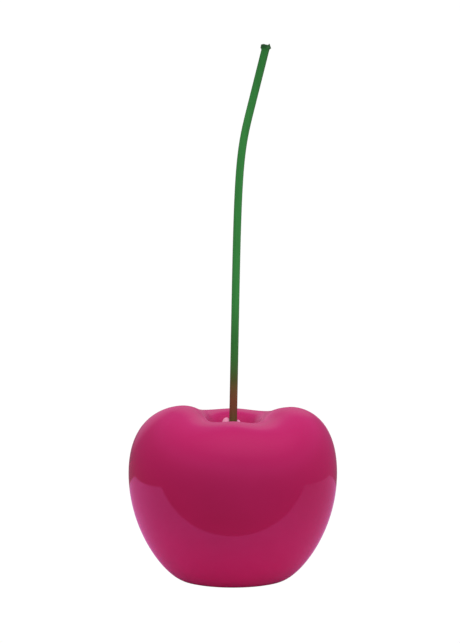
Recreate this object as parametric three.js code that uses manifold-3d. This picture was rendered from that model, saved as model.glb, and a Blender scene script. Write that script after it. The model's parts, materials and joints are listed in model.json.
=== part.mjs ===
// A decorative cherry that stands on a shelf: a glazed ceramic body with a dimple in its top, a bent painted
// rod for a stem, and the pale bead of adhesive that holds the rod in its hole.
// Millimetres. +X is to the right, -Y is the front and +Z is up, with the origin in the middle of the foot.

import * as THREE from "three";
import { LoftGeometry } from "three/addons/geometries/LoftGeometry.js";
import { mergeVertices } from "three/addons/utils/BufferGeometryUtils.js";
import Module from "manifold-3d";

const { clamp, degToRad: degrees, lerp } = THREE.MathUtils;

// Body: one upright outline, turned round the axis. The belly is the widest part, and the rim goes round the
// dimple.
const BELLY = { radius: 60, height: 61.8 };
const FOOT_RADIUS = 28.8;
const RIM = { radius: 28, height: 91.7 };
const DIMPLE_FLOOR = { radius: 10, height: 80 };

// Body: how the outline's curves leave their ends, as a slope, as lengths, or as shares of what they span
const HEEL_SLOPE = degrees(9.9);
const HEEL_REACH = 9.9;
const FLANK_REACH = 34.2;
const SHOULDER_RISE = 0.884;
const SHOULDER_ROUNDING = 0.25;
const RIM_ROUNDING = 0.9;
const DIMPLE_ROUNDING = 0.03;

// Body: the rim swells into a cheek on either side and a lower lip in front and behind. Each is lifted and
// pushed out, and the sharper it is, the narrower. Seen from above, the body is then a little less deep
// than wide.
const LOBES = [
  { towards: new THREE.Vector2(1, 0), lift: 7.9, push: 5.6, sharpness: 3 },
  { towards: new THREE.Vector2(-1, 0), lift: 8.7, push: 0.2, sharpness: 2.4 },
  { towards: new THREE.Vector2(0, -1), lift: 3.4, push: 0, sharpness: 8 },
  { towards: new THREE.Vector2(0, 1), lift: 3.4, push: 0, sharpness: 6 },
];
const DEPTH_TO_WIDTH = 0.95;

// Stem: a straight lower part that leans a little, a bend, and a straight top that leans more
const STEM_RADIUS = 2.25;
const STEM_BOTTOM_HEIGHT = 64;
const LOWER_LEAN = degrees(1.1);
const LOWER_CENTRE_HEIGHT = 82;
const BEND_START = { height: 161, reach: 75 };
const BEND_END = { x: 9.5, height: 268, reach: 22.7 };
const UPPER_LEAN = degrees(14.1);
const UPPER_LENGTH = 38.8;

// Stem: the cut end flares out, stands up in an ear on its right and is hollowed in the middle.
// Each ring lies a distance back from the end, and its right side is raised by the ear.
const TIP_RINGS = [
  { back: 2.9, radius: STEM_RADIUS, shift: 0, ear: 0.8 },
  { back: 1.9, radius: 3, shift: 0, ear: 1.1 },
  { back: 0, radius: 2.3, shift: -0.8, ear: 1.9 },
  { back: 0.8, radius: 1.2, shift: -0.8, ear: 0 },
  { back: 1, radius: 0, shift: -0.8, ear: 0 },
];

// The blind hole for the stem, and the adhesive round it: a low mound on the dimple's floor with a lump on
// either side of the stem, the left one higher
const CLEARANCE = 0.3;
const SOCKET_BOTTOM_HEIGHT = 63.5;
const STEM_ROOM_TOP_HEIGHT = 100;
const BEAD_LUMPS = [
  { middle: new THREE.Vector3(0, 0, 80), radii: new THREE.Vector3(9, 9, 6.5) },
  { middle: new THREE.Vector3(-3.6, 1, 88), radii: new THREE.Vector3(3.2, 3.5, 5.5) },
  { middle: new THREE.Vector3(3, 1, 87.5), radii: new THREE.Vector3(2.2, 3, 4.9) },
];

// Facets
const BODY_SIDES = 72;
const BODY_STEPS = 14;
const STEM_SIDES = 16;
const BEND_STEPS = 24;
const HOLE_SIDES = 32;
const LUMP_SIDES = 24;
const LUMP_STEPS = 14;

const wasm = await Module();
wasm.setup();

// A closed geometry as a solid that can be cut
function solidOf(geometry) {
  const bare = new THREE.BufferGeometry().copy(geometry);
  bare.deleteAttribute("normal");
  bare.deleteAttribute("uv");
  const merged = mergeVertices(bare);
  const vertProperties = merged.getAttribute("position").array;
  const triVerts = Uint32Array.from(merged.getIndex().array);
  return new wasm.Manifold(new wasm.Mesh({ numProp: 3, vertProperties, triVerts }));
}

// A cut solid as a geometry again
function geometryOf(solid) {
  const mesh = solid.getMesh();
  const geometry = new THREE.BufferGeometry();
  geometry.setAttribute("position", new THREE.BufferAttribute(mesh.vertProperties, mesh.numProp));
  geometry.setIndex(new THREE.BufferAttribute(mesh.triVerts, 1));
  geometry.computeVertexNormals();
  return geometry;
}

// The angles of the points round a ring, anticlockwise from +X
function ringAngles(sides) {
  return Array.from({ length: sides }, (_, side) => (side / sides) * 2 * Math.PI);
}

// The upright outline: out from the middle of the foot, over the heel to the belly, up to the rim and down
// into the middle of the dimple
function bodyOutline() {
  const outline = new THREE.Path();
  outline.moveTo(0, 0);
  outline.lineTo(FOOT_RADIUS, 0);
  outline.bezierCurveTo(
    FOOT_RADIUS + HEEL_REACH * Math.cos(HEEL_SLOPE),
    HEEL_REACH * Math.sin(HEEL_SLOPE),
    BELLY.radius,
    BELLY.height - FLANK_REACH,
    BELLY.radius,
    BELLY.height,
  );
  outline.bezierCurveTo(
    BELLY.radius,
    lerp(BELLY.height, RIM.height, SHOULDER_RISE),
    lerp(RIM.radius, BELLY.radius, SHOULDER_ROUNDING),
    RIM.height,
    RIM.radius,
    RIM.height,
  );
  outline.bezierCurveTo(
    lerp(RIM.radius, DIMPLE_FLOOR.radius, RIM_ROUNDING),
    RIM.height,
    lerp(DIMPLE_FLOOR.radius, RIM.radius, DIMPLE_ROUNDING),
    DIMPLE_FLOOR.height,
    DIMPLE_FLOOR.radius,
    DIMPLE_FLOOR.height,
  );
  outline.lineTo(0, DIMPLE_FLOOR.height);
  return outline.getPoints(BODY_STEPS);
}

// How strongly the lobes act on a point of the turned body: fully at the rim, fading to nothing at the belly
// on the outside and at the dimple's floor on the inside
function lobeHold(point) {
  const radius = Math.hypot(point.x, point.y);
  const edge = radius > RIM.radius ? BELLY : DIMPLE_FLOOR;
  return {
    lift: Math.max((point.z - edge.height) / (RIM.height - edge.height), 0),
    push: point.z > BELLY.height ? clamp((radius - edge.radius) / (RIM.radius - edge.radius), 0, 1) : 0,
  };
}

// A point of the turned body, with the lobes lifted and pushed
function withLobes(point) {
  const hold = lobeHold(point);
  const outwards = new THREE.Vector2(point.x, point.y).normalize();
  const lobed = point.clone();
  for (const { towards, lift, push, sharpness } of LOBES) {
    const share = Math.max(outwards.dot(towards), 0) ** sharpness;
    lobed.x += share * hold.push * push * towards.x;
    lobed.y += share * hold.push * push * towards.y;
    lobed.z += share * hold.lift * lift;
  }
  return lobed;
}

// The body before its hole is cut
function bodyBlank() {
  const body = new THREE.LatheGeometry(bodyOutline(), BODY_SIDES);
  body.rotateX(Math.PI / 2);
  const corners = body.getAttribute("position");
  for (let corner = 0; corner < corners.count; corner += 1) {
    const lobed = withLobes(new THREE.Vector3().fromBufferAttribute(corners, corner));
    corners.setXYZ(corner, lobed.x, lobed.y * DEPTH_TO_WIDTH, lobed.z);
  }
  return body;
}

// The direction of a line that leans to the right from straight up
function leaning(lean) {
  return new THREE.Vector3(Math.sin(lean), 0, Math.cos(lean));
}

// The middle of the stem's straight lower part, at a height
function lowerStemAt(height) {
  return new THREE.Vector3((height - LOWER_CENTRE_HEIGHT) * Math.tan(LOWER_LEAN), 0, height);
}

// One ring round the stem, square to its lean
function stemRing(point, lean, { radius, shift = 0, ear = 0 }) {
  return ringAngles(STEM_SIDES).map((angle) =>
    point
      .clone()
      .addScaledVector(leaning(lean + Math.PI / 2), shift + radius * Math.cos(angle))
      .addScaledVector(leaning(lean), ear * Math.max(Math.cos(angle), 0) ** 2)
      .add(new THREE.Vector3(0, radius * Math.sin(angle), 0)),
  );
}

function stemGeometry() {
  const bendStart = lowerStemAt(BEND_START.height);
  const bendEnd = new THREE.Vector3(BEND_END.x, 0, BEND_END.height);
  const bend = new THREE.CubicBezierCurve3(
    bendStart,
    bendStart.clone().addScaledVector(leaning(LOWER_LEAN), BEND_START.reach),
    bendEnd.clone().addScaledVector(leaning(UPPER_LEAN), -BEND_END.reach),
    bendEnd,
  );
  const rod = { radius: STEM_RADIUS };
  const rings = [stemRing(lowerStemAt(STEM_BOTTOM_HEIGHT), LOWER_LEAN, rod)];
  for (let step = 0; step <= BEND_STEPS; step += 1) {
    const tangent = bend.getTangentAt(step / BEND_STEPS);
    rings.push(stemRing(bend.getPointAt(step / BEND_STEPS), Math.atan2(tangent.x, tangent.z), rod));
  }
  for (const tipRing of TIP_RINGS) {
    const point = bendEnd.clone().addScaledVector(leaning(UPPER_LEAN), UPPER_LENGTH - tipRing.back);
    rings.push(stemRing(point, UPPER_LEAN, tipRing));
  }
  return new LoftGeometry(rings, { capStart: true });
}

// A straight round bar along the stem's lower part, from the bottom of the hole up, to cut room for the stem
function stemRoom(radius) {
  const bottom = lowerStemAt(SOCKET_BOTTOM_HEIGHT);
  const top = lowerStemAt(STEM_ROOM_TOP_HEIGHT);
  const middle = bottom.clone().lerp(top, 0.5);
  const bar = new THREE.CylinderGeometry(radius, radius, bottom.distanceTo(top), HOLE_SIDES);
  bar.rotateX(Math.PI / 2);
  bar.rotateY(LOWER_LEAN);
  bar.translate(middle.x, middle.y, middle.z);
  return solidOf(bar);
}

// The adhesive before anything is cut from it
function beadBlank() {
  const lumps = BEAD_LUMPS.map(({ middle, radii }) => {
    const lump = new THREE.SphereGeometry(1, LUMP_SIDES, LUMP_STEPS);
    lump.scale(radii.x, radii.y, radii.z);
    lump.translate(middle.x, middle.y, middle.z);
    return solidOf(lump);
  });
  return wasm.Manifold.union(lumps);
}

const bodySolid = solidOf(bodyBlank());
const bodyWithHole = bodySolid.subtract(stemRoom(STEM_RADIUS + CLEARANCE));
const bead = beadBlank()
  .subtract(bodySolid.translate(0, 0, CLEARANCE))
  .subtract(stemRoom(STEM_RADIUS + CLEARANCE));

const glaze = new THREE.MeshStandardMaterial({ color: 0xb8306c, roughness: 0.08, metalness: 0 });
const paint = new THREE.MeshStandardMaterial({ color: 0x34783c, roughness: 0.45, metalness: 0 });
const adhesive = new THREE.MeshStandardMaterial({ color: 0xf2a8c6, roughness: 0.3, metalness: 0 });

function namedMesh(name, geometry, material) {
  const mesh = new THREE.Mesh(geometry, material);
  mesh.name = name;
  return mesh;
}

const cherry = new THREE.Group();
cherry.add(namedMesh("body", geometryOf(bodyWithHole), glaze));
cherry.add(namedMesh("stem", stemGeometry(), paint));
cherry.add(namedMesh("stem_bead", geometryOf(bead), adhesive));

export default cherry;
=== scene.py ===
# %% [markdown]
# # A glazed ceramic cherry
# The real object is a table ornament in three pieces: a cast ceramic body under a thick magenta glaze, a
# bent rod painted green and brown for a stem, and the pale bead of adhesive that holds the rod in its hole.
# The solids of these pieces are loaded first. They are exact in size but faceted, and a gloss glaze shows
# every facet, so each piece is modelled again here, smooth, at the same size and place.

# %% Load the solids
import json
import math

import bmesh
import bpy
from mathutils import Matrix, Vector

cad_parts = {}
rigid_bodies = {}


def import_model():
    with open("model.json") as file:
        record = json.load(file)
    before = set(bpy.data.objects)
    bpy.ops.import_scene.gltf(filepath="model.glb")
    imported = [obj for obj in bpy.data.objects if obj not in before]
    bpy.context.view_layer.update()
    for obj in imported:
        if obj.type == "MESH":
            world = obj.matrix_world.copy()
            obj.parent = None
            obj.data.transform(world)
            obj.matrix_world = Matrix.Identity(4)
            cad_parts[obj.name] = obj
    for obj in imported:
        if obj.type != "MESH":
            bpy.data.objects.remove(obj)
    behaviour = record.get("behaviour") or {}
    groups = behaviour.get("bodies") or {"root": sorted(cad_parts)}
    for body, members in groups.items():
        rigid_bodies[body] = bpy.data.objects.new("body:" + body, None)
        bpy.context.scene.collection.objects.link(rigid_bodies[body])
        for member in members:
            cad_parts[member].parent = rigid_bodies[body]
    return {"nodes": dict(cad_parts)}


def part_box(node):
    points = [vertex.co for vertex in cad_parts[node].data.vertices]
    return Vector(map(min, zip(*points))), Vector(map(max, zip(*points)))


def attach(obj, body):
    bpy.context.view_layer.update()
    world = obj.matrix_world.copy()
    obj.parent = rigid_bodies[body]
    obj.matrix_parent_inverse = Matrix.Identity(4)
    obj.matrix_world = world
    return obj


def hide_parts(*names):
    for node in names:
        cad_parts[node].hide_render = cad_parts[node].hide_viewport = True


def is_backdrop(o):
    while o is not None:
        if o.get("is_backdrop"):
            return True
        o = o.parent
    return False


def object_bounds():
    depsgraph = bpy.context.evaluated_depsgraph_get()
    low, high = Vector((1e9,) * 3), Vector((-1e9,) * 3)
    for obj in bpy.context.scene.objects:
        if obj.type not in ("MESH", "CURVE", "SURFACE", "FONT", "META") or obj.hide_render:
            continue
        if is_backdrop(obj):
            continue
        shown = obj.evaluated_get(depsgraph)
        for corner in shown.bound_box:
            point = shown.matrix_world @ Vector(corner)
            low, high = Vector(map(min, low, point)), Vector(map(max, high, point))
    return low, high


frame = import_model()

MM = 0.001


def in_mm(sides):
    """Sides in metres as rounded millimetres, for printing."""
    return [round(side / MM, 1) for side in sides]


solid_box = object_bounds()
for node in frame["nodes"]:
    low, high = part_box(node)
    print(node, "measures", in_mm(high - low), "mm")

# %% [markdown]
# ## The camera
# A long lens from a little above flattens the form, as in a catalogue picture. The camera stands 1.5 m away
# and looks down by 6 degrees, so the dimple shows as a thin crescent behind its front lip. The lens follows
# from how many pixels the focal length takes up in an image 643 pixels high.

# %% Set up the camera
IMAGE_HEIGHT_PX = 643
FOCAL_LENGTH_PX = 2627
SENSOR_MM = 36
CAMERA_DISTANCE = 1.5
CAMERA_PITCH = math.radians(6)
AIM = Vector((-1.6, 0, 149)) * MM

towards_camera = Vector((0, -math.cos(CAMERA_PITCH), math.sin(CAMERA_PITCH)))
bpy.ops.object.select_all(action="DESELECT")
bpy.ops.object.camera_add(
    location=AIM + CAMERA_DISTANCE * towards_camera,
    rotation=(math.pi / 2 - CAMERA_PITCH, 0, 0),
)
camera = bpy.context.object
camera.data.sensor_width = SENSOR_MM
camera.data.lens = FOCAL_LENGTH_PX * SENSOR_MM / IMAGE_HEIGHT_PX
bpy.context.scene.camera = camera
print("lens", round(camera.data.lens, 1), "mm")

# %% [markdown]
# ## Three helpers
# The round pieces start from a line drawn with Bezier handles, because a potter's outline and a bent rod are
# both smooth curves with few knots. Because no mouse picks anything, vertices are picked by a test on their
# place. And a modifier is added, set and applied in one go.

# %% Helpers for drawing, picking and modifying
def draw_line(name, knots):
    """A curve in the XZ plane through knots of (handle before, point, handle after), mm; None is straight."""
    bpy.ops.object.select_all(action="DESELECT")
    bpy.ops.curve.primitive_bezier_curve_add(location=(0, 0, 0))
    line = bpy.context.object
    line.name = name
    spline = line.data.splines[0]
    spline.bezier_points.add(len(knots) - len(spline.bezier_points))
    for knot, (before, at, after) in zip(spline.bezier_points, knots):
        knot.co = Vector((at[0], 0, at[1])) * MM
        knot.handle_left_type = "VECTOR" if before is None else "FREE"
        knot.handle_right_type = "VECTOR" if after is None else "FREE"
        if before is not None:
            knot.handle_left = Vector((before[0], 0, before[1])) * MM
        if after is not None:
            knot.handle_right = Vector((after[0], 0, after[1])) * MM
    return line


def pick(test):
    """In edit mode, selects the vertices whose place passes the test, with the edges and faces between."""
    mesh = bpy.context.object.data
    shape = bmesh.from_edit_mesh(mesh)
    for vertex in shape.verts:
        vertex.select_set(test(vertex.co))
    shape.select_flush_mode()
    bmesh.update_edit_mesh(mesh)


def apply_modifier(piece, kind, **settings):
    """Adds a modifier to the piece, which is the active object, with these settings, and applies it."""
    bpy.ops.object.modifier_add(type=kind)
    modifier = piece.modifiers[-1]
    for key, value in settings.items():
        setattr(modifier, key, value)
    bpy.ops.object.modifier_apply(modifier=modifier.name)


# %% [markdown]
# ## The body, as on a potter's wheel
# The master for the mould was turned: one outline, spun round the axis. A learner could also squash a sphere,
# but then the flat foot, the heel and the dimple would all have to be pushed into shape. Here the outline
# goes from the middle of the foot over the heel, the belly and the rim into the dimple, and down into the
# blind hole that the stem stands in.

# %% Draw the outline
BELLY_RADIUS, BELLY_HEIGHT = 60, 61.8
FOOT_RADIUS = 28.8
RIM_RADIUS, RIM_HEIGHT = 28, 91.7
FLOOR_RADIUS, FLOOR_HEIGHT = 10, 80
HOLE_RADIUS, HOLE_BOTTOM = 2.8, 63.5
HEEL_SLOPE = math.radians(9.9)
HEEL_REACH = 9.9
FLANK_REACH = 34.2
SHOULDER_REACH = 0.884 * (RIM_HEIGHT - BELLY_HEIGHT)
RIM_OUTER_REACH = 0.25 * (BELLY_RADIUS - RIM_RADIUS)
RIM_INNER_REACH = 0.9 * (RIM_RADIUS - FLOOR_RADIUS)
DIMPLE_REACH = 0.03 * (RIM_RADIUS - FLOOR_RADIUS)

heel = (FOOT_RADIUS + HEEL_REACH * math.cos(HEEL_SLOPE), HEEL_REACH * math.sin(HEEL_SLOPE))
body = draw_line("glazed_body", [
    (None, (0, 0), None),
    (None, (FOOT_RADIUS, 0), heel),
    ((BELLY_RADIUS, BELLY_HEIGHT - FLANK_REACH), (BELLY_RADIUS, BELLY_HEIGHT),
     (BELLY_RADIUS, BELLY_HEIGHT + SHOULDER_REACH)),
    ((RIM_RADIUS + RIM_OUTER_REACH, RIM_HEIGHT), (RIM_RADIUS, RIM_HEIGHT),
     (RIM_RADIUS - RIM_INNER_REACH, RIM_HEIGHT)),
    ((FLOOR_RADIUS + DIMPLE_REACH, FLOOR_HEIGHT), (FLOOR_RADIUS, FLOOR_HEIGHT), None),
    (None, (HOLE_RADIUS, FLOOR_HEIGHT), None),
    (None, (HOLE_RADIUS, HOLE_BOTTOM), None),
    (None, (0, HOLE_BOTTOM), None),
])
print("outline:", len(body.data.splines[0].bezier_points), "knots")

# %% [markdown]
# ### Spinning the outline
# Made a mesh, the outline is spun all the way round. Its last copy then lies on the first, and every copy
# meets the others on the axis, so these points are welded, and the faces are turned to point outwards.

# %% Spin the outline
OUTLINE_STEPS = 16
BODY_SIDES = 96
WELD_GAP = 0.001

body.data.resolution_u = OUTLINE_STEPS
bpy.ops.object.convert(target="MESH")
bpy.ops.object.mode_set(mode="EDIT")
bpy.ops.mesh.select_all(action="SELECT")
bpy.ops.mesh.spin(steps=BODY_SIDES, angle=2 * math.pi, center=(0, 0, 0), axis=(0, 0, 1))
bpy.ops.mesh.select_all(action="SELECT")
bpy.ops.mesh.remove_doubles(threshold=WELD_GAP * MM)
bpy.ops.mesh.normals_make_consistent(inside=False)
bpy.ops.object.mode_set(mode="OBJECT")
print("turned body:", len(body.data.polygons), "faces")

# %% [markdown]
# ## Four lobes
# A cherry isn't round: its shoulders swell into two cheeks, with a lower lip in front and behind. Each lobe
# is painted as vertex weights, full at the rim and fading to nothing at the belly and at the dimple's floor.
# The sharper a lobe is, the narrower it comes out.

# %% Paint the lobes' weights
LOBES = {
    "right cheek": {"towards": Vector((1, 0)), "lift": 7.9, "push": 5.6, "sharpness": 3},
    "left cheek": {"towards": Vector((-1, 0)), "lift": 8.7, "push": 0.2, "sharpness": 2.4},
    "front lip": {"towards": Vector((0, -1)), "lift": 3.4, "push": 0, "sharpness": 8},
    "back lip": {"towards": Vector((0, 1)), "lift": 3.4, "push": 0, "sharpness": 6},
}


def lobe_hold(place):
    """How far a point of the turned body, in mm, follows a lobe's lift and its push: 1 at the rim."""
    radius = place.xy.length
    outside = radius > RIM_RADIUS
    edge_radius, edge_height = (BELLY_RADIUS, BELLY_HEIGHT) if outside else (FLOOR_RADIUS, FLOOR_HEIGHT)
    if place.z <= edge_height:
        return 0, 0
    lift = (place.z - edge_height) / (RIM_HEIGHT - edge_height)
    push = (radius - edge_radius) / (RIM_RADIUS - edge_radius)
    return lift, max(push, 0)


for name, lobe in LOBES.items():
    lifted = body.vertex_groups.new(name=name + " lift")
    pushed = body.vertex_groups.new(name=name + " push")
    for vertex in body.data.vertices:
        place = vertex.co / MM
        share = max(place.xy.normalized().dot(lobe["towards"]), 0) ** lobe["sharpness"]
        lift, push = lobe_hold(place)
        lifted.add([vertex.index], share * lift, "REPLACE")
        pushed.add([vertex.index], share * push, "REPLACE")
print("weights:", len(body.vertex_groups), "groups for", len(LOBES), "lobes")

# %% [markdown]
# ### Swelling
# Displace modifiers lift each lobe by its weights, and push the cheeks out sideways. Weights keep the wall
# smooth, where moving single points would leave dents that a gloss glaze shows. The body is then squashed a
# little from front to back and subdivided once.

# %% Swell the lobes and squash the body
DEPTH_TO_WIDTH = 0.95

for name, lobe in LOBES.items():
    apply_modifier(body, "DISPLACE", direction="Z", mid_level=0, strength=lobe["lift"] * MM,
                   vertex_group=name + " lift")
    if lobe["push"]:
        apply_modifier(body, "DISPLACE", direction="X", mid_level=0,
                       strength=lobe["push"] * lobe["towards"].x * MM, vertex_group=name + " push")

bpy.ops.object.mode_set(mode="EDIT")
bpy.ops.mesh.select_all(action="SELECT")
bpy.ops.transform.resize(value=(1, DEPTH_TO_WIDTH, 1), center_override=(0, 0, 0))
bpy.ops.object.mode_set(mode="OBJECT")
apply_modifier(body, "SUBSURF", levels=1, render_levels=1)
bpy.ops.object.shade_smooth()
print("lobed body:", in_mm(body.dimensions), "mm")

# %% [markdown]
# ## The stem
# The stem is a stiff rod, bent once. A curve with a round bevel is the natural way to make it: four knots
# give a straight foot that leans a little, one bend, and a straight top. It is then made a mesh, so that its
# end can be worked on.

# %% Bend the rod
STEM_RADIUS = 2.25
STEM_BOTTOM = 64
LOWER_LEAN = math.radians(1.1)
LOWER_CENTRE_HEIGHT = 82
BEND_START_HEIGHT, BEND_START_REACH = 161, 75
BEND_END, BEND_END_REACH = (9.5, 268), 22.7
UPPER_LEAN = math.radians(14.1)
UPPER_LENGTH = 38.8
FLARE_LENGTH = 2.9
STEM_STEPS = 40
STEM_ROUNDNESS = 6


def along(point, lean, distance):
    """The point at a distance from another, along a line that leans to the right from straight up."""
    return (point[0] + distance * math.sin(lean), point[1] + distance * math.cos(lean))


def lower_stem_at(height):
    """The middle of the stem's straight lower part, at a height."""
    return ((height - LOWER_CENTRE_HEIGHT) * math.tan(LOWER_LEAN), height)


bend_start = lower_stem_at(BEND_START_HEIGHT)
rod_top = along(BEND_END, UPPER_LEAN, UPPER_LENGTH - FLARE_LENGTH)
stem = draw_line("painted_stem", [
    (None, lower_stem_at(STEM_BOTTOM), None),
    (None, bend_start, along(bend_start, LOWER_LEAN, BEND_START_REACH)),
    (along(BEND_END, UPPER_LEAN, -BEND_END_REACH), BEND_END, None),
    (None, rod_top, None),
])
stem.data.dimensions = "3D"
stem.data.resolution_u = STEM_STEPS
stem.data.bevel_depth = STEM_RADIUS * MM
stem.data.bevel_resolution = STEM_ROUNDNESS
stem.data.use_fill_caps = True
bpy.ops.object.convert(target="MESH")
bpy.ops.object.mode_set(mode="EDIT")
bpy.ops.mesh.select_all(action="SELECT")
bpy.ops.mesh.remove_doubles(threshold=WELD_GAP * MM)
bpy.ops.mesh.normals_make_consistent(inside=False)
print("rod:", round(stem.dimensions.z / MM, 1), "mm high")

# %% [markdown]
# ## The cut end
# The end was snapped or cut, and painted over: it flares, dips in the middle and stands up in an ear on the
# right. Still in edit mode, each step pushes the end face on along the rod and scales it, and the last one
# goes back into the rod, which makes the hollow. The end is picked from a hair below its own ring.

# %% Flare the end
TIP_STEPS = [
    {"forward": 1.0, "radius": 3.0, "sideways": 0},
    {"forward": 1.9, "radius": 2.3, "sideways": -0.8},
    {"forward": -0.8, "radius": 1.2, "sideways": 0},
]
FROM_ROD_END = -0.01

up = Vector((math.sin(UPPER_LEAN), 0, math.cos(UPPER_LEAN)))
right = Vector((math.cos(UPPER_LEAN), 0, -math.sin(UPPER_LEAN)))
rod_end = Vector((rod_top[0], 0, rod_top[1])) * MM


def past_rod_end(place):
    """How far a place lies beyond the rod's end, along the rod, in mm."""
    return (place - rod_end).dot(up) / MM


pick(lambda place: past_rod_end(place) > FROM_ROD_END)
centre, radius = rod_end, STEM_RADIUS
for tip in TIP_STEPS:
    step = (tip["forward"] * up + tip["sideways"] * right) * MM
    bpy.ops.mesh.extrude_region_move(TRANSFORM_OT_translate={"value": step})
    centre = centre + step
    bpy.ops.transform.resize(value=(tip["radius"] / radius,) * 3, center_override=centre)
    radius = tip["radius"]
print("flared end:", len(TIP_STEPS), "steps")

# %% [markdown]
# ### The ear
# The ear is pulled up in small pulls, each on a narrower strip of the right side: three on the whole flare,
# then two on its rim alone. The last two pulls fill the rim's left half, so that it ends blunt.

# %% Pull up the ear
FROM_RIM = 2.6
RIGHT_EDGE = 4
EAR_PULLS = [
    {"above": FROM_ROD_END, "from": 0.2, "to": RIGHT_EDGE, "by": 0.3},
    {"above": FROM_ROD_END, "from": 1.0, "to": RIGHT_EDGE, "by": 0.4},
    {"above": FROM_ROD_END, "from": 1.7, "to": RIGHT_EDGE, "by": 0.4},
    {"above": FROM_RIM, "from": 0.4, "to": RIGHT_EDGE, "by": 0.4},
    {"above": FROM_RIM, "from": 1.0, "to": RIGHT_EDGE, "by": 0.4},
    {"above": FROM_RIM, "from": -2.8, "to": 0.4, "by": 0.3},
    {"above": FROM_RIM, "from": -2.2, "to": 0.2, "by": 0.3},
]
SMOOTH_ANGLE = math.radians(50)


def to_the_right(place):
    """How far a place lies to the right of the rod's middle, across the rod, in mm."""
    return (place - rod_end).dot(right) / MM


for ear in EAR_PULLS:
    pick(lambda place: past_rod_end(place) > ear["above"] and ear["from"] < to_the_right(place) < ear["to"])
    bpy.ops.transform.translate(value=ear["by"] * up * MM)
bpy.ops.object.mode_set(mode="OBJECT")
bpy.ops.object.shade_smooth_by_angle(angle=SMOOTH_ANGLE)
stem_top = max(vertex.co.z for vertex in stem.data.vertices)
print("stem:", len(stem.data.polygons), "faces, top at", round(stem_top / MM, 1), "mm")

# %% [markdown]
# ## The bead of adhesive
# Where the rod goes in, a pale blob of adhesive was left to set: a mound on the dimple's floor, with a lump
# squeezed up on either side of the rod. Three balls are joined, and a voxel Remesh melts them into one skin,
# which is quicker than sculpting and leaves no seams.

# %% Melt three balls into one bead
BEAD_LUMPS = {
    "mound": {"middle": (0, 0, 80), "radii": (9, 9, 6.5)},
    "left lump": {"middle": (-3.6, 1, 88), "radii": (3.2, 3.5, 5.5)},
    "right lump": {"middle": (3, 1, 87.5), "radii": (2.2, 3, 4.9)},
}
BALL_SEGMENTS, BALL_RINGS = 48, 24
BEAD_GRAIN = 0.3
MELT_SHARE, MELT_STEPS = 0.5, 6

bpy.ops.object.select_all(action="DESELECT")
balls = []
for lump in BEAD_LUMPS.values():
    bpy.ops.mesh.primitive_uv_sphere_add(segments=BALL_SEGMENTS, ring_count=BALL_RINGS, radius=MM)
    bpy.ops.object.mode_set(mode="EDIT")
    bpy.ops.mesh.select_all(action="SELECT")
    bpy.ops.transform.resize(value=lump["radii"], center_override=(0, 0, 0))
    bpy.ops.transform.translate(value=Vector(lump["middle"]) * MM)
    bpy.ops.object.mode_set(mode="OBJECT")
    balls.append(bpy.context.object)
for ball in balls:
    ball.select_set(True)
bpy.context.view_layer.objects.active = balls[0]
bpy.ops.object.join()
bead = bpy.context.object
bead.name = "adhesive_bead"
apply_modifier(bead, "REMESH", mode="VOXEL", voxel_size=BEAD_GRAIN * MM)
apply_modifier(bead, "SMOOTH", factor=MELT_SHARE, iterations=MELT_STEPS)
print("melted bead:", in_mm(bead.dimensions), "mm")

# %% [markdown]
# ### Lumps and a close fit
# A cloud texture makes the bead lumpy. Its lower side is cut flat where it lies on the floor, and the rod is
# cut out of it, so that it hugs the rod.

# %% Press the bead round the stem
LUMP_SIZE = 5
LUMP_HEIGHT = 0.5

lumps = bpy.data.textures.new("adhesive lumps", "CLOUDS")
lumps.noise_scale = LUMP_SIZE * MM
apply_modifier(bead, "DISPLACE", texture=lumps, texture_coords="LOCAL", strength=LUMP_HEIGHT * MM)
bpy.ops.object.mode_set(mode="EDIT")
bpy.ops.mesh.select_all(action="SELECT")
bpy.ops.mesh.bisect(plane_co=(0, 0, FLOOR_HEIGHT * MM), plane_no=(0, 0, 1), use_fill=True, clear_inner=True)
bpy.ops.object.mode_set(mode="OBJECT")
apply_modifier(bead, "BOOLEAN", operation="DIFFERENCE", object=stem)
bpy.ops.object.shade_smooth_by_angle(angle=SMOOTH_ANGLE)
print("bead:", in_mm(bead.dimensions), "mm,", len(bead.data.polygons), "faces")

# %% [markdown]
# ## Finishes
# Colours are written as the hex values that an eye or a picker reads off a picture, and one function turns
# them into the linear light that a shader works in. One more function adds a node, sets it and links it. A
# Mix node's sockets for colours have the same names as those for numbers, so they are picked by position.

# %% Helpers for materials
MIX_FIRST, MIX_SECOND, MIX_RESULT = 6, 7, 2


def linear(hex_colour):
    """An sRGB hex colour as linear red, green, blue and alpha."""
    channels = [int(hex_colour[i:i + 2], 16) / 255 for i in (1, 3, 5)]
    return [c / 12.92 if c <= 0.04045 else ((c + 0.055) / 1.055) ** 2.4 for c in channels] + [1]


def add_node(tree, kind, inputs=None, **settings):
    """Adds a node with its settings. Each input is set to a value, or linked to another node's socket."""
    node = tree.nodes.new(kind)
    for key, value in settings.items():
        setattr(node, key, value)
    for socket, source in (inputs or {}).items():
        if isinstance(source, bpy.types.NodeSocket):
            tree.links.new(source, node.inputs[socket])
        else:
            node.inputs[socket].default_value = source
    return node


def set_stops(ramp, stops):
    """Gives a colour ramp these stops of (position, colour), in order."""
    while len(ramp.elements) < len(stops):
        ramp.elements.new(0.5)
    for stop, (position, colour) in zip(ramp.elements, stops):
        stop.position = position
        stop.color = colour


def new_material(name, piece):
    """An empty material on the piece, with its shader: returns the node tree and the shader."""
    material = bpy.data.materials.new(name)
    material.use_nodes = True
    piece.data.materials.clear()
    piece.data.materials.append(material)
    return material.node_tree, material.node_tree.nodes["Principled BSDF"]


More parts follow.
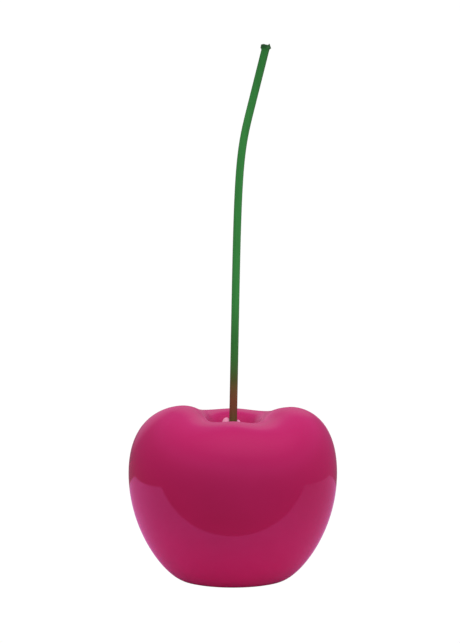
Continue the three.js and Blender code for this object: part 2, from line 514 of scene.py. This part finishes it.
# %% [markdown]
# ### Magenta gloss glaze
# The glaze is a thick, even layer of coloured glass, sprayed on and fired. To the eye it is one deep colour
# under a mirror that is almost clear: every edge in the room shows in it, with hardly a ripple. It pools
# slightly darker in places, which is a slow change of colour over a few centimetres. The foot is wiped clean
# before firing, so that it doesn't stick to the kiln shelf, and shows the pale bare clay.

# %% Glaze the body
GLAZE_SHADES = [(0.3, "#BA1A56"), (0.7, "#BF1C5A")]
GLAZE_POOL_SIZE = 40
GLAZE_RIPPLE_SIZE, GLAZE_RIPPLE_HEIGHT = 12, 0.01
GLAZE_IOR, GLAZE_ROUGHNESS = 1.5, 0.08
CLAY_SHADE, CLAY_ROUGHNESS = "#E6D8C6", 0.85
WIPED_FOOT_HEIGHT = 0.2

tree, glaze = new_material("magenta gloss glaze, sprayed and fired", body)
place = add_node(tree, "ShaderNodeTexCoord").outputs["Object"]
pools = add_node(tree, "ShaderNodeTexNoise",
                 {"Vector": place, "Scale": 1 / (GLAZE_POOL_SIZE * MM), "Detail": 2})
colour = add_node(tree, "ShaderNodeValToRGB", {"Fac": pools.outputs["Fac"]})
set_stops(colour.color_ramp, [(at, linear(shade)) for at, shade in GLAZE_SHADES])
height = add_node(tree, "ShaderNodeSeparateXYZ", {"Vector": place}).outputs["Z"]
wiped = add_node(tree, "ShaderNodeMath", {0: height, 1: WIPED_FOOT_HEIGHT * MM}, operation="LESS_THAN")
skin = add_node(tree, "ShaderNodeMix", {"Factor": wiped.outputs["Value"], MIX_FIRST: colour.outputs["Color"],
                                        MIX_SECOND: linear(CLAY_SHADE)}, data_type="RGBA")
gloss = add_node(tree, "ShaderNodeMapRange", {"Value": wiped.outputs["Value"], "To Min": GLAZE_ROUGHNESS,
                                              "To Max": CLAY_ROUGHNESS})
ripples = add_node(tree, "ShaderNodeTexNoise",
                   {"Vector": place, "Scale": 1 / (GLAZE_RIPPLE_SIZE * MM), "Detail": 0})
bump = add_node(tree, "ShaderNodeBump", {"Height": ripples.outputs["Fac"], "Strength": 1,
                                         "Distance": GLAZE_RIPPLE_HEIGHT * MM})
tree.links.new(skin.outputs[MIX_RESULT], glaze.inputs["Base Color"])
tree.links.new(gloss.outputs["Result"], glaze.inputs["Roughness"])
tree.links.new(bump.outputs["Normal"], glaze.inputs["Normal"])
glaze.inputs["IOR"].default_value = GLAZE_IOR
print("glaze:", len(tree.nodes), "nodes")

# %% [markdown]
# ### Painted rod
# The stem is brushed with a satin enamel: green above, shading into brown and olive near its foot. The brush
# left fine streaks along the rod, and the cut end is darker, where the paint is thin over a rough end. The
# eye reads the colour by its height, so a ramp along the height gives the shades, and the streaks are noise
# that is stretched along the rod.

# %% Paint the stem
STEM_SHADES = [(93, "#6E6636"), (98, "#84583A"), (104, "#8A5937"), (110, "#7E6536"), (115.5, "#5F6E32"),
               (121, "#4E823C"), (127, "#42903E"), (138, "#3B9640"), (160, "#43AE4F"), (303.2, "#43AE4F"),
               (304.8, "#266C32")]
SHADE_BOTTOM, SHADE_TOP = 88, 308
STREAK_WIDTH, STREAK_LENGTH = 0.8, 18
STREAK_HEIGHT, STREAK_STRENGTH = 0.1, 0.5
STREAK_SHADE = "#D0D0D0"
PAINT_ROUGHNESS, PAINT_SPECULAR = 0.5, 0.25

tree, paint = new_material("satin enamel, brushed on a rod", stem)
place = add_node(tree, "ShaderNodeTexCoord").outputs["Object"]
across, lengthwise = 1 / (STREAK_WIDTH * MM), 1 / (STREAK_LENGTH * MM)
stretch = add_node(tree, "ShaderNodeMapping", {"Vector": place, "Scale": (across, across, lengthwise)})
streaks = add_node(tree, "ShaderNodeTexNoise",
                   {"Vector": stretch.outputs["Vector"], "Scale": 1, "Detail": 3})
height = add_node(tree, "ShaderNodeSeparateXYZ", {"Vector": place}).outputs["Z"]
rise = add_node(tree, "ShaderNodeMapRange", {"Value": height, "From Min": SHADE_BOTTOM * MM,
                                             "From Max": SHADE_TOP * MM})
shades = add_node(tree, "ShaderNodeValToRGB", {"Fac": rise.outputs["Result"]})
set_stops(shades.color_ramp, [((at - SHADE_BOTTOM) / (SHADE_TOP - SHADE_BOTTOM), linear(shade))
                              for at, shade in STEM_SHADES])
streaked = add_node(tree, "ShaderNodeMix", {"Factor": streaks.outputs["Fac"],
                                            MIX_FIRST: shades.outputs["Color"],
                                            MIX_SECOND: linear(STREAK_SHADE)},
                    data_type="RGBA", blend_type="MULTIPLY")
bump = add_node(tree, "ShaderNodeBump", {"Height": streaks.outputs["Fac"], "Strength": STREAK_STRENGTH,
                                         "Distance": STREAK_HEIGHT * MM})
tree.links.new(streaked.outputs[MIX_RESULT], paint.inputs["Base Color"])
tree.links.new(bump.outputs["Normal"], paint.inputs["Normal"])
paint.inputs["Roughness"].default_value = PAINT_ROUGHNESS
paint.inputs["Specular IOR Level"].default_value = PAINT_SPECULAR
print("paint:", len(STEM_SHADES), "shades along the rod")

# %% [markdown]
# ### Set adhesive
# The bead is a pale resin, and its pink is painted bounce light from the glaze round it. It is glossy,
# because it set without being touched, and a little cloudy, which is a soft noise between two pinks.

# %% Tint the bead
# Both shades are the resin's pale colour with painted pink bounce light from the glaze mixed in.
RESIN_AND_BOUNCE_SHADES = [(0, "#F08AB4"), (1, "#FBB4D0")]
RESIN_ROUGHNESS = 0.25

tree, resin = new_material("pale resin adhesive, set in a bead", bead)
place = add_node(tree, "ShaderNodeTexCoord").outputs["Object"]
cloud = add_node(tree, "ShaderNodeTexNoise", {"Vector": place, "Scale": 1 / (LUMP_SIZE * MM), "Detail": 2})
tint = add_node(tree, "ShaderNodeValToRGB", {"Fac": cloud.outputs["Fac"]})
set_stops(tint.color_ramp, [(at, linear(shade)) for at, shade in RESIN_AND_BOUNCE_SHADES])
tree.links.new(tint.outputs["Color"], resin.inputs["Base Color"])
resin.inputs["Roughness"].default_value = RESIN_ROUGHNESS
print("adhesive:", len(tree.nodes), "nodes")

# %% [markdown]
# ## Bodies
# Nothing moves on this ornament, so all three pieces ride on one body. Each piece says which solid it stands
# for, and that solid is hidden.

# %% Tie the pieces to the frame
for piece, node, finish in (
    (body, "body", "magenta_glaze"),
    (stem, "stem", "green_paint"),
    (bead, "stem_bead", "pale_adhesive"),
):
    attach(piece, "root")
    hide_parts(node)
    print(piece.name, "stands for", node)

# %% [markdown]
# ## The floor
# A gloss glaze is a picture of its room, and here every reflection in it is rosy, with a paler band round the
# foot that ends in a line. A shader's mirror is white, so the rose is put where the mirror looks: a rosy
# board lies under the cherry, near enough to its front for its edge to show. The eye doesn't see the board.
# The stem is hidden from the glaze in turn, because the glaze shows no image of it.

# %% Lay the board
BOARD_LEFT, BOARD_RIGHT = -360, 420
BOARD_FRONT, BOARD_BACK = -85, 280
BOARD_HEIGHT = -0.2

bpy.ops.object.select_all(action="DESELECT")
bpy.ops.mesh.primitive_plane_add(size=1)
board = bpy.context.object
board.name = "rosy_board"
bpy.ops.object.mode_set(mode="EDIT")
bpy.ops.mesh.select_all(action="SELECT")
bpy.ops.transform.resize(value=((BOARD_RIGHT - BOARD_LEFT) * MM, (BOARD_BACK - BOARD_FRONT) * MM, 1))
bpy.ops.transform.translate(value=Vector(((BOARD_LEFT + BOARD_RIGHT) / 2, (BOARD_FRONT + BOARD_BACK) / 2,
                                          BOARD_HEIGHT)) * MM)
bpy.ops.object.mode_set(mode="OBJECT")
board.visible_camera = False
stem.visible_glossy = False
board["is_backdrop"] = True
print("board:", in_mm(board.dimensions), "mm")

# %% [markdown]
# ### Rosy card
# The board is a matt card, so it mirrors nothing itself. Its rose is clearest in front on the left and gets
# duller to the back and the right, as the reflection in the glaze does.

# %% Tint the board
CARD_SHADES = [(0, "#FFA0F8"), (0.27, "#F999E9"), (0.5, "#E790D4"), (1, "#D489C4")]
CARD_FADE_TOWARDS = (0.5, 0.85, 0)
CARD_FADE_START, CARD_FADE_END = -90, 170
CARD_ROUGHNESS = 0.9

tree, card = new_material("rosy matt board", board)
place = add_node(tree, "ShaderNodeTexCoord").outputs["Object"]
away = add_node(tree, "ShaderNodeVectorMath", {0: place, 1: CARD_FADE_TOWARDS}, operation="DOT_PRODUCT")
fade = add_node(tree, "ShaderNodeMapRange", {"Value": away.outputs["Value"], "From Min": CARD_FADE_START * MM,
                                             "From Max": CARD_FADE_END * MM})
rose = add_node(tree, "ShaderNodeValToRGB", {"Fac": fade.outputs["Result"]})
set_stops(rose.color_ramp, [(at, linear(shade)) for at, shade in CARD_SHADES])
tree.links.new(rose.outputs["Color"], card.inputs["Base Color"])
card.inputs["Roughness"].default_value = CARD_ROUGHNESS
card.inputs["Specular IOR Level"].default_value = 0
print("card:", len(CARD_SHADES), "shades of rose")

# %% [markdown]
# ## The light
# A wide soft dome lights the cherry, brightest overhead, a little to the right and in front, and dark below.
# Its light is white, but what the glaze mirrors of it is rosy, so glossy rays get a ramp of their own. Both
# ramps run from -1, straight away from the brightest point, to 1, straight at it, and hold linear light.

# %% Light the dome
ROOM_ZENITH = Vector((0.14, -0.2, 0.966)).normalized()
ROOM_LIGHT = [(-0.4, (0.1, 0.1, 0.1)), (0.0, (0.4, 0.4, 0.4)), (0.25, (0.55, 0.55, 0.55)),
              (0.5, (0.9, 0.9, 0.9)), (0.75, (0.98, 0.98, 0.98)), (1.0, (1.46, 1.46, 1.46))]
ROOM_MIRRORED = [(-0.4, (0.22, 0.12, 0.15)), (0.0, (0.4, 0.13, 0.32)), (0.25, (0.55, 0.16, 0.44)),
                 (0.5, (0.9, 0.21, 0.72)), (0.75, (0.98, 0.2, 0.78)), (1.0, (1.46, 0.38, 1.17))]

room = bpy.data.worlds.new("soft studio")
bpy.context.scene.world = room
room.use_nodes = True
tree = room.node_tree
tree.nodes.clear()
direction = add_node(tree, "ShaderNodeTexCoord").outputs["Generated"]
rays = add_node(tree, "ShaderNodeLightPath")
height = add_node(tree, "ShaderNodeVectorMath", {0: direction, 1: ROOM_ZENITH}, operation="DOT_PRODUCT")
share = add_node(tree, "ShaderNodeMapRange", {"Value": height.outputs["Value"], "From Min": -1})
ramps = []
for levels in (ROOM_LIGHT, ROOM_MIRRORED):
    ramp = add_node(tree, "ShaderNodeValToRGB", {"Fac": share.outputs["Result"]})
    set_stops(ramp.color_ramp, [((at + 1) / 2, (*level, 1)) for at, level in levels])
    ramps.append(ramp.outputs["Color"])
dome = add_node(tree, "ShaderNodeMix", {"Factor": rays.outputs["Is Glossy Ray"], MIX_FIRST: ramps[0],
                                        MIX_SECOND: ramps[1]}, data_type="RGBA")
print("dome:", len(ROOM_LIGHT), "levels of light")

# %% [markdown]
# ### Glows and a white backdrop
# Three soft glows behind the cherry give the pale edges round the dimple, where the glaze is seen at a flat
# angle and mirrors most. The camera itself sees plain white all round, hardly brighter than white, because a
# brighter backdrop would eat into thin edges such as the stem's.

# %% Hang the glows and the backdrop
GLOWS = [
    {"towards": (0.02, 1, 0.07), "starts": 0.945, "full": 0.985, "colour": (0.23, 0.04, 0.07)},
    {"towards": (0.12, 0.87, 0.49), "starts": 0.945, "full": 1, "colour": (0.19, 0.19, 0.19)},
    {"towards": (-0.35, 0.89, 0.28), "starts": 0.93, "full": 1, "colour": (0.35, 0.15, 0.24)},
]
ROOM_STRENGTH = 1.04
BACKDROP_GLOW = 1.02
WHITE = (1, 1, 1, 1)

for glow in GLOWS:
    towards = Vector(glow["towards"]).normalized()
    facing = add_node(tree, "ShaderNodeVectorMath", {0: direction, 1: towards}, operation="DOT_PRODUCT")
    inside = add_node(tree, "ShaderNodeMapRange", {"Value": facing.outputs["Value"],
                                                   "From Min": glow["starts"], "From Max": glow["full"]},
                      interpolation_type="SMOOTHSTEP")
    dome = add_node(tree, "ShaderNodeMix",
                    {"Factor": inside.outputs["Result"], MIX_FIRST: dome.outputs[MIX_RESULT],
                     MIX_SECOND: (*glow["colour"], 1)}, data_type="RGBA", blend_type="ADD")
light = add_node(tree, "ShaderNodeBackground",
                 {"Color": dome.outputs[MIX_RESULT], "Strength": ROOM_STRENGTH})
backdrop = add_node(tree, "ShaderNodeBackground", {"Color": WHITE, "Strength": BACKDROP_GLOW})
seen = add_node(tree, "ShaderNodeMixShader", {0: rays.outputs["Is Camera Ray"], 1: light.outputs[0],
                                              2: backdrop.outputs[0]})
add_node(tree, "ShaderNodeOutputWorld", {"Surface": seen.outputs[0]})
bpy.context.scene.view_settings.view_transform = "Standard"
print("room:", len(GLOWS), "glows on the dome")

# %% [markdown]
# ## Last measures
# The dressed ornament must be as large as its solids, so both boxes are printed, one under the other.

# %% Measure and finish
dressed_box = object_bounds()
for label, (low, high) in (("solids", solid_box), ("dressed", dressed_box)):
    print(label, in_mm(high - low), "mm")
